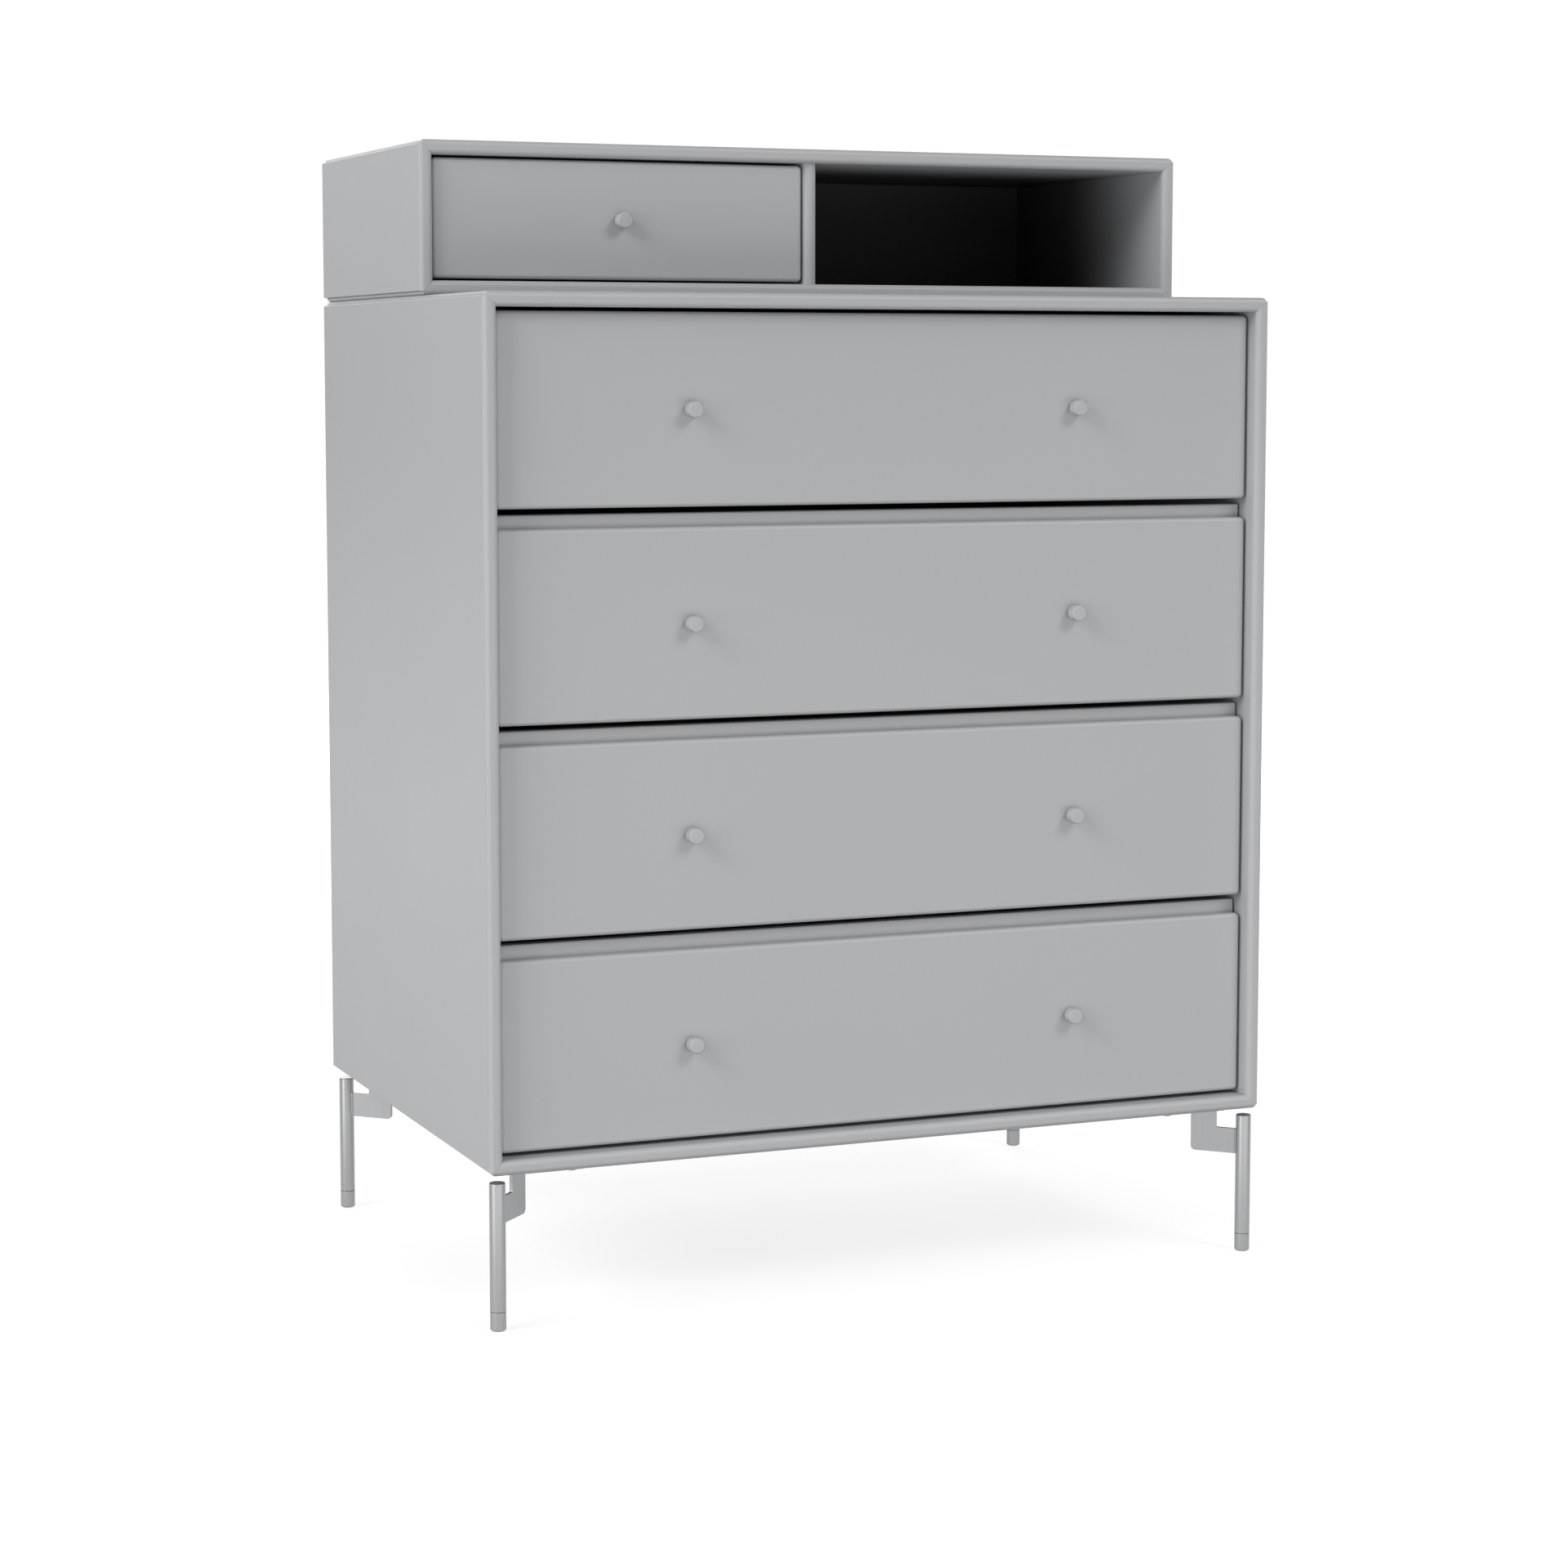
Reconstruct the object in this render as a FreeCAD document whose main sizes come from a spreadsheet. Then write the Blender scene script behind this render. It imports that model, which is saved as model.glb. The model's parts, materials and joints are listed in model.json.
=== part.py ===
import FreeCAD, Part
import math
import os
import re
import Sketcher

# Chest of drawers: a square lower carcass with four wide drawers, a shallower module on top with one
# small drawer and an open compartment, and four steel legs with levelling feet.
# Millimetres. X is the width, -Y the front and +Z up. The origin lies on the floor, below the middle
# of the lower carcass.

doc = FreeCAD.newDocument("chest_of_drawers")

# Driving dimensions, each with what it measures
dimensions = {
    # Modules
    "cabinet_width": (696, "width of both modules"),
    "lower_height": (696, "height of the lower carcass"),
    "lower_depth": (468, "depth of the lower carcass"),
    "upper_height": (126, "height of the upper module"),
    "upper_depth": (300, "depth of the upper module"),
    "leg_height": (126.5, "floor to the underside of the lower carcass"),
    # Panels
    "panel": (12, "thickness of the carcass panels"),
    "edge_round": (4.5, "rounding of both arrises of a panel's front edge"),
    "edge_flat": (1, "least flat that stays between those two roundings"),
    "cap_round": (3, "rounding where a top or bottom panel steps in from the side"),
    "side_round": (1.5, "rounding of the side panel's ledge below that step"),
    "step_flat": (0.2, "flat of the step below the rounding"),
    "rebate_lip": (6, "panel left outside the back board's rebate"),
    "back_board": (8, "thickness of the back boards"),
    "back_reveal": (2, "back board's setback from the rear edge"),
    "divider": (12, "thickness of the upper module's divider"),
    "divider_setback": (5.5, "divider's setback from the upper front edge"),
    "nose_flat": (0.5, "flat left in the middle of the divider's round nose"),
    "dowel_diameter": (8, "locating dowels between the modules"),
    "dowel_depth": (8, "depth of a dowel hole in each panel"),
    "dowel_side_inset": (60, "dowel axis from the side"),
    "dowel_play": (0.1, "radial clearance round a dowel"),
    # Legs
    "rod_diameter": (13, "leg rod"),
    "leg_inset": (9.5, "rod axis from the side, front and back"),
    "rod_gap": (6.5, "rod's upper end below the carcass"),
    "arm_thickness": (3, "flat arm between rod and mounting plate"),
    "arm_reach": (46.5, "arm's far edge from the rod axis"),
    "arm_riser": (24, "riser's near edge from the rod axis"),
    "arm_upper": (19.5, "arm's upper edge below the carcass"),
    "arm_lower": (41.2, "arm's lower edge below the carcass"),
    "arm_corner": (4, "rounding of the arm's outer corner"),
    "arm_notch": (1.5, "rounding of the arm's inner corner"),
    "plate_size": (63, "side of the square mounting plate"),
    "plate_thickness": (3, "mounting plate"),
    "plate_corner": (3, "flat cut off the plate's corners"),
    "plate_side_inset": (23, "plate from the cabinet's side"),
    "plate_edge_inset": (15, "plate from the carcass's front and back"),
    "foot_height": (16, "levelling foot up to the rod's lower end"),
    "foot_seam": (0.3, "gap between foot and rod when screwed right in"),
    "stud_diameter": (8, "levelling foot's stud"),
    "stud_length": (22, "stud above the foot"),
    "stud_play": (0.05, "radial clearance of the stud in the rod"),
    "bore_depth": (30, "depth of the rod's bore"),
    # Wide drawers
    "front_recess": (13, "drawer fronts behind the carcass front"),
    "front_board": (12, "thickness of the drawer fronts"),
    "front_side_gap": (1.5, "gap beside a drawer front"),
    "front_end_gap": (3, "gap below the lowest and above the highest front"),
    "band": (11, "box front showing above a drawer front"),
    "finger_gap": (5, "gap between that band and the next front"),
    "front_corner": (4, "rounding of a front's corners, seen from the front"),
    "front_round": (3.5, "rounding of the edges of a front's face"),
    "corner_margin": (0.3, "least by which the corner's rounding exceeds the face's"),
    "box_front": (12, "thickness of the box front"),
    "box_front_gap": (2, "gap beside the box front"),
    "box_front_foot": (4, "box front's lower edge above the front's"),
    "box_front_drop": (3, "top drawer's box front below its front's upper edge"),
    "box_wall": (12, "thickness of the box sides and back"),
    "box_edge": (1, "flat cut off the box's upper edges"),
    "box_lift": (6, "box sides' lower edge above the front's"),
    "box_drop": (10, "box sides' upper edge below the front's"),
    "box_back_gap": (13, "space between the box and the back board"),
    "board": (6, "thickness of the drawer bottom"),
    "board_rise": (10, "drawer bottom above the box sides' lower edge"),
    "groove": (6, "depth of the groove that holds the drawer bottom"),
    # Runners
    "runner_space": (13, "room for a runner between wall and box side"),
    "runner_inset": (4, "runner's ends from the box side's ends"),
    "runner_rise": (42, "runner's centre above the front's lower edge"),
    "rail_height": (45, "height of the rail on the cabinet"),
    "rail_reach": (11.5, "rail's lips from the wall"),
    "rail_lip": (4, "height of the rail's lips"),
    "middle_lip": (5.5, "height of the middle member's lips"),
    "runner_sheet": (1.2, "sheet thickness of every runner member"),
    "runner_bend": (1.2, "flat cut off the outer side of a bend"),
    "runner_play": (0.3, "clearance between nested members"),
    # Knobs
    "knob_diameter": (13, "knob"),
    "knob_length": (12, "knob, from the front's face"),
    "knob_chamfer": (1, "chamfer of the knob's outer edge"),
    # Small drawer
    "small_recess": (7.5, "small front behind the upper module's front"),
    "small_end_gap": (2, "gap below and above the small front"),
    "small_lift": (5, "small box's lower edge above its front's"),
    "small_drop": (12, "small box's upper edge below its front's"),
    "small_back_gap": (20.5, "space between the small box and the back board"),
    "small_runner_rise": (38, "small runner's centre above the front's lower edge"),
}

sheet = doc.addObject("Spreadsheet::Sheet", "Sizes")
for row, (alias, (size, meaning)) in enumerate(dimensions.items(), start=1):
    sheet.set(f"A{row}", meaning)
    sheet.set(f"B{row}", str(size))
    sheet.setAlias(f"B{row}", alias)
doc.recompute()

# Sizes that follow from the driving dimensions, as expressions on the sheet
inner_half = "(cabinet_width / 2 - panel)"
edge = "min(edge_round; (panel - edge_flat) / 2)"
rebate_depth = "(back_board + back_reveal)"
lower_front_y = "(-lower_depth / 2)"
upper_front_y = "(lower_depth / 2 - upper_depth)"
back_y = "(lower_depth / 2)"
back_face_y = f"({back_y} - {rebate_depth})"
dowel_y = f"({back_y} - upper_depth / 2)"
lower_top_z = "(leg_height + lower_height)"
drawer_count = 4
front_pitch = (f"((lower_height - 2 * panel - 2 * front_end_gap + band + finger_gap)"
               f" / {drawer_count})")
front_height = f"({front_pitch} - band - finger_gap)"
front_width = f"(2 * {inner_half} - 2 * front_side_gap)"
face_round = "min(front_round; front_corner - corner_margin)"
first_front_z = "(leg_height + panel + front_end_gap)"
wide_front_y = f"({lower_front_y} + front_recess)"
wide_side_y = f"({wide_front_y} + front_board + box_front)"
wide_side_length = f"({back_face_y} - box_back_gap - {wide_side_y})"
bay_half = f"(({inner_half} - divider / 2) / 2)"
bay_centre = f"(divider / 2 + {bay_half})"
small_width = f"(2 * {bay_half} - 2 * front_side_gap)"
small_height = "(upper_height - 2 * panel - 2 * small_end_gap)"
small_front_y = f"({upper_front_y} + small_recess)"
small_side_y = f"({small_front_y} + front_board)"
small_side_length = f"({back_face_y} - small_back_gap - {small_side_y})"
small_front_z = f"({lower_top_z} + panel + small_end_gap)"

# Section of the runner members, measured from the wall and from the runner's centre line
rail_half = "(rail_height / 2)"
rail_slot = f"({rail_half} - rail_lip)"
rail_cavity = f"({rail_half} - runner_sheet)"
rail_lip_face = "(rail_reach - runner_sheet)"
middle_half = f"({rail_cavity} - runner_play)"
middle_web = "(runner_sheet + runner_play)"
middle_reach = f"({rail_lip_face} - runner_play)"
middle_slot = f"({middle_half} - middle_lip)"
middle_cavity = f"({middle_half} - runner_sheet)"
middle_lip_face = f"({middle_reach} - runner_sheet)"


def bound(words):
    # "panel - rebate_lip" becomes an expression on the sheet's cells
    return re.sub(r"\b[a-z][a-z0-9_]*\b(?!\()", r"Sizes.\g<0>", str(words))


def amount(words):
    return float(sheet.evalExpression(bound(words)))


def bind(thing, path, words):
    thing.setExpression(path, bound(words))


def place(thing, x, y, z):
    bind(thing, "Placement.Base.x", x)
    bind(thing, "Placement.Base.y", y)
    bind(thing, "Placement.Base.z", z)


def new_body(label):
    body = doc.addObject("PartDesign::Body", label)
    body.Label = label
    body.AllowCompound = True
    return body


def origin_plane(body, role):
    for feature in body.Origin.OriginFeatures:
        if feature.Role == role:
            return (feature, [""])


def eased(corners, flat=False):
    # A corner (x, y, radius) between two sides along the axes becomes an arc, or a flat as far from
    # the corner. A path's point (x, y, radius) starts an arc to the next point, which turns left
    # where the radius is positive.
    spots = [(amount(corner[0]), amount(corner[1])) for corner in corners]
    path = []
    for index, corner in enumerate(corners):
        if len(corner) == 2:
            path.append(corner)
            continue
        x, y, radius = corner
        here = spots[index]
        ahead = spots[(index + 1) % len(spots)]
        before = [round(math.copysign(1, a - b)) if abs(a - b) > 1e-6 else 0
                  for a, b in zip(here, spots[index - 1])]
        after = [round(math.copysign(1, a - b)) if abs(a - b) > 1e-6 else 0
                 for a, b in zip(ahead, here)]
        turn = before[0] * after[1] - before[1] * after[0]
        start = (f"{x} - ({before[0]}) * ({radius})", f"{y} - ({before[1]}) * ({radius})")
        path.append(start if flat else (*start, f"{turn} * ({radius})"))
        path.append((f"{x} + ({after[0]}) * ({radius})", f"{y} + ({after[1]}) * ({radius})"))
    return path


def arc_between(start, finish, radius):
    # The short arc from start to finish, round a centre on its left where the radius is positive
    middle = (start + finish) * 0.5
    along = finish - start
    rise = math.sqrt(max(radius ** 2 - (along.Length / 2) ** 2, 0))
    left = FreeCAD.Vector(-along.y, along.x, 0).normalize()
    centre = middle + left * math.copysign(rise, radius)
    first, last = (start, finish) if radius > 0 else (finish, start)
    angles = [math.atan2(spot.y - centre.y, spot.x - centre.x) for spot in (first, last)]
    circle = Part.Circle(centre, FreeCAD.Vector(0, 0, 1), abs(radius))
    return Part.ArcOfCircle(circle, angles[0], angles[1])


def draw_loop(sketch, path):
    # Every point is held by its two distances from the sketch's origin, every arc by its radius
    first = sketch.GeometryCount
    count = len(path)
    spots = [FreeCAD.Vector(amount(point[0]), amount(point[1]), 0) for point in path]
    shapes = []
    starts = []
    for index, point in enumerate(path):
        ahead = spots[(index + 1) % count]
        if len(point) == 2:
            shapes.append(Part.LineSegment(spots[index], ahead))
            starts.append(1)
        else:
            radius = amount(point[2])
            shapes.append(arc_between(spots[index], ahead, radius))
            starts.append(1 if radius > 0 else 2)
    sketch.addGeometry(shapes)
    for index in range(count):
        after = (index + 1) % count
        sketch.addConstraint(Sketcher.Constraint(
            "Coincident", first + index, 3 - starts[index], first + after, starts[after]))
    for index, point in enumerate(path):
        spot = spots[index]
        vertex = (first + index, starts[index])
        across = sketch.addConstraint(Sketcher.Constraint("DistanceX", -1, 1, *vertex, spot.x))
        bind(sketch, f"Constraints[{across}]", point[0])
        up = sketch.addConstraint(Sketcher.Constraint("DistanceY", -1, 1, *vertex, spot.y))
        bind(sketch, f"Constraints[{up}]", point[1])
        if len(point) == 3:
            radius = sketch.addConstraint(
                Sketcher.Constraint("Radius", first + index, abs(amount(point[2]))))
            bind(sketch, f"Constraints[{radius}]", f"abs({point[2]})")


def draw_circle(sketch, x, y, radius):
    centre = FreeCAD.Vector(amount(x), amount(y), 0)
    index = sketch.addGeometry(Part.Circle(centre, FreeCAD.Vector(0, 0, 1), amount(radius)))
    size = sketch.addConstraint(Sketcher.Constraint("Radius", index, amount(radius)))
    bind(sketch, f"Constraints[{size}]", radius)
    across = sketch.addConstraint(Sketcher.Constraint("DistanceX", -1, 1, index, 3, centre.x))
    bind(sketch, f"Constraints[{across}]", x)
    up = sketch.addConstraint(Sketcher.Constraint("DistanceY", -1, 1, index, 3, centre.y))
    bind(sketch, f"Constraints[{up}]", y)


def new_sketch(body, name, plane, path=None, circles=(), shift=None, turn=0):
    # shift moves the sketch in its own x, y and normal; turn swings it about its own y axis
    sketch = body.newObject("Sketcher::SketchObject", name)
    sketch.AttachmentSupport = origin_plane(body, plane)
    sketch.MapMode = "FlatFace"
    if turn:
        swing = FreeCAD.Rotation(FreeCAD.Vector(0, 1, 0), turn)
        sketch.AttachmentOffset = FreeCAD.Placement(FreeCAD.Vector(), swing)
    if shift:
        for axis, words in zip("xyz", shift):
            bind(sketch, f"AttachmentOffset.Base.{axis}", words)
    if path:
        draw_loop(sketch, path)
    for x, y, radius in circles:
        draw_circle(sketch, x, y, radius)
    return sketch


def add_pad(body, sketch, length, reverse=False, both=False):
    feature = body.newObject("PartDesign::Pad", "pad")
    feature.Profile = sketch
    bind(feature, "Length", length)
    if both:
        feature.SideType = "Symmetric"
    feature.Reversed = reverse
    return feature


def add_pocket(body, sketch, length=None, reverse=False):
    # Without a length the pocket runs through everything, both ways
    feature = body.newObject("PartDesign::Pocket", "pocket")
    feature.Profile = sketch
    if length is None:
        feature.SideType = "Symmetric"
        feature.Type = "ThroughAll"
    else:
        bind(feature, "Length", length)
        feature.Reversed = reverse
    return feature


def add_turning(body, sketch):
    # A full turn about the sketch's vertical axis
    feature = body.newObject("PartDesign::Revolution", "turning")
    feature.Profile = sketch
    feature.ReferenceAxis = (sketch, ["V_Axis"])
    feature.Angle = 360
    return feature


def add_mirror(body, role, originals=None):
    # With no originals the whole body is mirrored
    doc.recompute()
    feature = body.newObject("PartDesign::Mirrored", "mirrored")
    if originals:
        feature.Originals = originals
    else:
        feature.TransformMode = "Whole shape"
    feature.MirrorPlane = origin_plane(body, role)
    body.Tip = feature
    return feature


def add_row(body, role, count, spacing):
    doc.recompute()
    feature = body.newObject("PartDesign::LinearPattern", "row")
    feature.TransformMode = "Whole shape"
    feature.Direction = origin_plane(body, role)
    feature.Occurrences = count
    bind(feature, "Length", f"({count} - 1) * {spacing}")
    body.Tip = feature
    return feature


def add_fillet(body, base, chosen, radius):
    doc.recompute()
    names = [f"Edge{number}" for number, one in enumerate(base.Shape.Edges, start=1) if chosen(one)]
    feature = body.newObject("PartDesign::Fillet", "fillet")
    feature.Base = (base, names)
    bind(feature, "Radius", radius)
    return feature


def carcass_panel(label, length, depth, corner, turn, x, y, z):
    # Laid flat: the outer face is at z = 0 and the front edge at y = 0. Both ends are mitred, and
    # stepped along the long outer edge, where the two panels of a corner meet.
    body = new_body(label)
    section = new_sketch(body, "section", "YZ_Plane", eased([
        ("0", "-panel", edge),
        ("0", "0", edge),
        (depth, "0"),
        (depth, "-rebate_lip"),
        (f"{depth} - {rebate_depth}", "-rebate_lip"),
        (f"{depth} - {rebate_depth}", "-panel"),
    ]))
    add_pad(body, section, length, both=True)
    end = f"{length} / 2"
    step = "(cap_round + step_flat)"
    overrun = "panel / 4"
    ends = new_sketch(body, "mitre_and_step", "XZ_Plane", [
        (f"{end} - panel - {overrun}", f"-panel - {overrun}"),
        (f"{end} - {step}", f"-{step}"),
        (f"{end} - {step}", f"-{corner}", corner),
        (f"{end} - {step} - {corner}", "0"),
        (f"{end} - {step} - {corner}", overrun),
        (f"{end} + {overrun}", overrun),
        (f"{end} + {overrun}", f"-panel - {overrun}"),
    ])
    cut = add_pocket(body, ends)
    add_mirror(body, "YZ_Plane", [cut])
    body.Placement = FreeCAD.Placement(
        FreeCAD.Vector(), FreeCAD.Rotation(FreeCAD.Vector(0, 1, 0), turn))
    place(body, x, y, z)
    return body


def drill(body, spots, radius, depth):
    # Blind holes from the outer face of a carcass panel
    holes = new_sketch(body, "holes", "XY_Plane", circles=[(x, y, radius) for x, y in spots])
    body.Tip = add_pocket(body, holes, depth)


def carcass(name, height, depth, front_y, bottom_z):
    # Left and right sides, top, bottom and the back board let into their rebates
    middle_z = f"{bottom_z} + {height} / 2"
    top = carcass_panel(f"{name}_top", "cabinet_width", depth, "cap_round", 0,
                        "0", front_y, f"{bottom_z} + {height}")
    bottom = carcass_panel(f"{name}_bottom", "cabinet_width", depth, "cap_round", 180,
                           "0", front_y, bottom_z)
    right = carcass_panel(f"{name}_right_side", height, depth, "side_round", 90,
                          "cabinet_width / 2", front_y, middle_z)
    left = carcass_panel(f"{name}_left_side", height, depth, "side_round", 270,
                         "-cabinet_width / 2", front_y, middle_z)
    back = doc.addObject("Part::Box", f"{name}_back")
    bind(back, "Length", "cabinet_width - 2 * rebate_lip")
    bind(back, "Width", "back_board")
    bind(back, "Height", f"{height} - 2 * rebate_lip")
    place(back, "rebate_lip - cabinet_width / 2", back_face_y, f"{bottom_z} + rebate_lip")
    return top, bottom, right, left, back


def upper_divider():
    body = new_body("upper_divider")
    nose = "((divider - nose_flat) / 2)"
    section = new_sketch(body, "section", "XY_Plane", eased([
        ("-divider / 2", "divider_setback", nose),
        ("divider / 2", "divider_setback", nose),
        ("divider / 2", f"upper_depth - {rebate_depth}"),
        ("-divider / 2", f"upper_depth - {rebate_depth}"),
    ]))
    add_pad(body, section, "upper_height - 2 * panel")
    place(body, "0", upper_front_y, f"{lower_top_z} + panel")
    return body


def dowel_spots(front_y):
    # Places of the dowels in a panel whose front edge lies at front_y
    side = "(cabinet_width / 2 - dowel_side_inset)"
    return [(x, f"{dowel_y} - {front_y}") for x in (f"-{side}", side)]


def module_dowels():
    body = new_body("module_dowels")
    radius = "dowel_diameter / 2"
    shift = ("cabinet_width / 2 - dowel_side_inset", "0", "0")
    profile = new_sketch(body, "profile", "XZ_Plane", [
        ("0", "-dowel_depth"),
        (radius, "-dowel_depth"),
        (radius, "dowel_depth"),
        ("0", "dowel_depth"),
    ], shift=shift)
    add_turning(body, profile)
    add_mirror(body, "YZ_Plane")
    place(body, "0", dowel_y, lower_top_z)
    return body


def leg():
    # Front right leg: origin on the rod's axis, level with the carcass's underside. The inside of
    # the cabinet lies towards -X and +Y.
    body = new_body("front_right_leg")
    arm = new_sketch(body, "arm", "XZ_Plane", eased([
        ("0", "-arm_lower"),
        ("arm_reach", "-arm_lower", "arm_corner"),
        ("arm_reach", "-plate_thickness"),
        ("arm_riser", "-plate_thickness"),
        ("arm_riser", "-arm_upper", "arm_notch"),
        ("0", "-arm_upper"),
    ]), turn=135)
    add_pad(body, arm, "arm_thickness", both=True)
    outer = "(leg_inset - plate_side_inset)"
    near = "(plate_edge_inset - leg_inset)"
    plate = new_sketch(body, "plate", "XY_Plane", eased([
        (outer, near, "plate_corner"),
        (outer, f"{near} + plate_size", "plate_corner"),
        (f"{outer} - plate_size", f"{near} + plate_size", "plate_corner"),
        (f"{outer} - plate_size", near, "plate_corner"),
    ], flat=True))
    add_pad(body, plate, "plate_thickness", reverse=True)
    radius = "rod_diameter / 2"
    bore = "(stud_diameter / 2 + stud_play)"
    rod_end = "(foot_height - leg_height)"
    rod = new_sketch(body, "rod", "XZ_Plane", [
        ("0", "-rod_gap"),
        (radius, "-rod_gap"),
        (radius, rod_end),
        (bore, rod_end),
        (bore, f"{rod_end} + bore_depth"),
        ("0", f"{rod_end} + bore_depth"),
    ])
    add_turning(body, rod)
    place(body, "cabinet_width / 2 - leg_inset", f"{lower_front_y} + leg_inset", "leg_height")
    return body


def mirrored_copy(source, label, normal):
    copy = doc.addObject("Part::Mirroring", label)
    copy.Source = source
    copy.Normal = FreeCAD.Vector(*normal)
    return copy


def foot(label, x, y):
    body = new_body(label)
    radius = "rod_diameter / 2"
    stud = "stud_diameter / 2"
    top = "(foot_height - foot_seam)"
    profile = new_sketch(body, "profile", "XZ_Plane", [
        ("0", "0"),
        (radius, "0"),
        (radius, top),
        (stud, top),
        (stud, f"{top} + stud_length"),
        ("0", f"{top} + stud_length"),
    ])
    add_turning(body, profile)
    place(body, x, y, "0")
    return body


def channel(web, reach, half, slot, wall):
    # A channel with lips, in section: its web at the distance web from the wall, its lips ending at
    # reach, half its height, and slot half the opening that the lips leave
    bend = "runner_bend"
    cavity = f"({half} - runner_sheet)"
    lip_face = f"({reach} - runner_sheet)"
    floor = f"({web} + runner_sheet)"
    lower = [(web, f"-{half}", bend), (reach, f"-{half}", bend), (reach, f"-{slot}"),
             (lip_face, f"-{slot}"), (lip_face, f"-{cavity}"), (floor, f"-{cavity}")]
    upper = [(floor, cavity), (lip_face, cavity), (lip_face, slot),
             (reach, slot), (reach, half, bend), (web, half, bend)]
    section = [(f"{wall} - {corner[0]}", *corner[1:]) for corner in lower + upper]
    return eased(section, flat=True)


def hat(slot, cavity, lip_face, wall):
    # The drawer's member, in section: two legs through the slot of the channel that holds it, with
    # a brim caught behind the lips
    bend = "runner_bend"
    leg_outer = f"({slot} - runner_play)"
    leg_inner = f"({leg_outer} - runner_sheet)"
    tip = f"({cavity} - runner_play)"
    brim = f"({lip_face} - runner_play)"
    brim_back = f"({brim} - runner_sheet)"
    crown = "(runner_space - runner_sheet)"
    loop = [(brim_back, f"-{tip}"), (brim, f"-{tip}"), (brim, f"-{leg_outer}"),
            ("runner_space", f"-{leg_outer}", bend), ("runner_space", leg_outer, bend),
            (brim, leg_outer), (brim, tip), (brim_back, tip),
            (brim_back, leg_inner, bend), (crown, leg_inner),
            (crown, f"-{leg_inner}"), (brim_back, f"-{leg_inner}", bend)]
    return eased([(f"{wall} - {corner[0]}", *corner[1:]) for corner in loop], flat=True)


def runner(label, section, side_length, x, side_y, z):
    # One member on each side of a drawer
    body = new_body(label)
    profile = new_sketch(body, "section", "XZ_Plane", section)
    add_pad(body, profile, f"{side_length} - 2 * runner_inset", reverse=True)
    add_mirror(body, "YZ_Plane")
    place(body, x, f"{side_y} + runner_inset", z)
    return body


def rail_section(wall):
    return channel("0", "rail_reach", rail_half, rail_slot, wall)


def middle_section(wall):
    return channel(middle_web, middle_reach, middle_half, middle_slot, wall)


def runner_rails(first_z):
    # All the rails screwed to the cabinet: a pair for each wide drawer and one for the small drawer
    wide = runner("wide_rails", rail_section(inner_half), wide_side_length,
                  "0", wide_side_y, f"{first_z} + runner_rise")
    add_row(wide, "Z_Axis", drawer_count, front_pitch)
    small = runner("small_rails", rail_section(bay_half), small_side_length,
                   f"-{bay_centre}", small_side_y, f"{small_front_z} + small_runner_rise")
    rails = doc.addObject("Part::Compound", "runner_rails")
    rails.Links = [wide, small]
    return rails


def drawer_front(label, width, height, x, y, z):
    # Origin at the middle of the face's lower edge
    body = new_body(label)
    outline = new_sketch(body, "outline", "XZ_Plane", eased([
        (f"-{width} / 2", "0", "front_corner"),
        (f"{width} / 2", "0", "front_corner"),
        (f"{width} / 2", height, "front_corner"),
        (f"-{width} / 2", height, "front_corner"),
    ]))
    board = add_pad(body, outline, "front_board", reverse=True)
    add_fillet(body, board, lambda one: one.BoundBox.YMax < 1e-3, face_round)
    place(body, x, y, z)
    return body


def cut_groove(body, half, low, near, far):
    # A groove for the drawer bottom, between near and far along Y, open towards the drawer's inside
    section = new_sketch(body, "groove", "YZ_Plane", [
        (near, low), (far, low), (far, f"{low} + board"), (near, f"{low} + board")])
    pocket = add_pocket(body, section, f"2 * {half}")
    pocket.SideType = "Symmetric"
    body.Tip = pocket


def box_front(label, top, groove_low, z):
    body = new_body(label)
    thickness = "(front_board + box_front)"
    low = "box_front_foot"
    section = new_sketch(body, "section", "YZ_Plane", eased([
        ("front_board", low),
        ("front_board", top, "box_edge"),
        (thickness, top, "box_edge"),
        (thickness, low),
    ], flat=True))
    add_pad(body, section, f"2 * ({inner_half} - box_front_gap)", both=True)
    cut_groove(body, board_half(inner_half), groove_low, f"{thickness} - groove", thickness)
    place(body, "0", wide_front_y, z)
    return body


def board_half(wall):
    # Half the width of the drawer bottom, which reaches into the grooves of both sides
    return f"({wall} - runner_space - box_wall + groove)"


def drawer_sides(label, wall, low, top, length, x, y, z):
    body = new_body(label)
    outer = f"({wall} - runner_space)"
    inner = f"({outer} - box_wall)"
    section = new_sketch(body, "section", "XZ_Plane", eased([
        (inner, low),
        (outer, low),
        (outer, top, "box_edge"),
        (inner, top, "box_edge"),
        (inner, f"{low} + board_rise + board"),
        (f"{inner} + groove", f"{low} + board_rise + board"),
        (f"{inner} + groove", f"{low} + board_rise"),
        (inner, f"{low} + board_rise"),
    ], flat=True))
    add_pad(body, section, length, reverse=True)
    add_mirror(body, "YZ_Plane")
    place(body, x, y, z)
    return body


def drawer_back(label, wall, low, top, length, x, y, z):
    # Stands on the drawer bottom, between the sides
    body = new_body(label)
    floor = f"{low} + board_rise + board"
    section = new_sketch(body, "section", "YZ_Plane", eased([
        (f"{length} - box_wall", floor),
        (f"{length} - box_wall", top, "box_edge"),
        (length, top, "box_edge"),
        (length, floor),
    ], flat=True))
    add_pad(body, section, f"2 * ({wall} - runner_space - box_wall)", both=True)
    place(body, x, y, z)
    return body


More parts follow.
